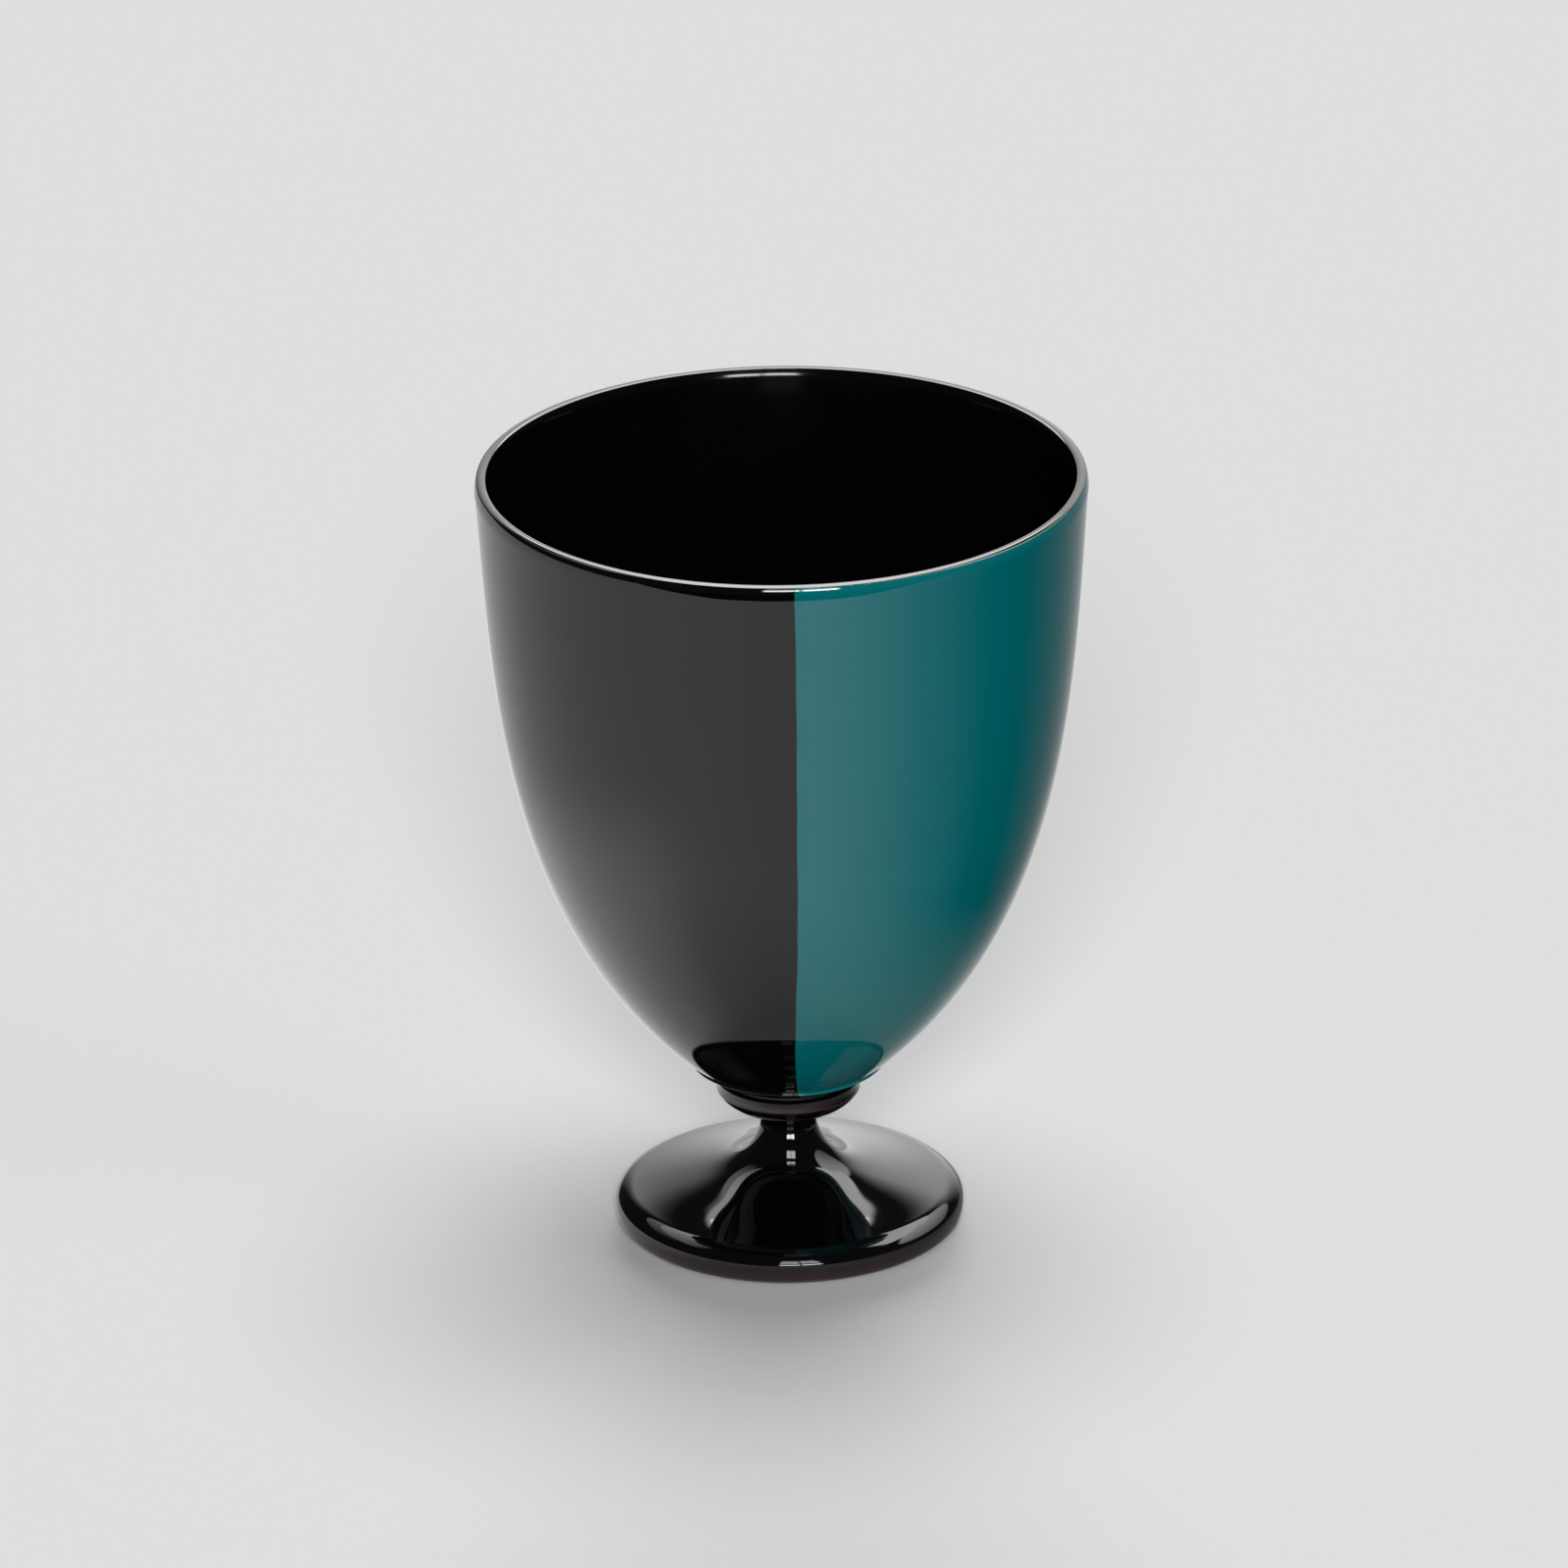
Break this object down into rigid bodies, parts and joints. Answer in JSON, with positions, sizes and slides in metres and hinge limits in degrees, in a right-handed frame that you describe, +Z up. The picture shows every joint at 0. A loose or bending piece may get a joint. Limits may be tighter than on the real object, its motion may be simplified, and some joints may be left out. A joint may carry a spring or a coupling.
{
  "type": "footed sake cup",
  "caption": "Footed sake cup: thin egg-shaped bowl on a collared stem and a flared round foot, lacquered black inside, half black and half teal outside.",
  "frame": {"origin": "centre of the foot's resting ring, on the surface that the cup stands on", "axes": "+Z up along the turning axis, +X towards the teal half, -Y towards the front, where the seam shows"},
  "size_m": [0.062, 0.062, 0.0822],
  "materials": {
    "lacquered_wood": "turned wood sealed with dark ground lacquer, black where it shows at the lip and under the foot",
    "black_lacquer": "polished black lacquer, mirror gloss, faintly red-brown where it thins over edges",
    "teal_lacquer": "polished teal lacquer, mirror gloss"
  },
  "bodies": {
    "root": {"bowl": "lacquered_wood", "stem": "lacquered_wood", "foot": "lacquered_wood", "lining_lacquer": "black_lacquer", "black_half_lacquer": "black_lacquer", "teal_half_lacquer": "teal_lacquer", "stem_lacquer": "black_lacquer", "foot_lacquer": "black_lacquer"}
  },
  "joints": []
}
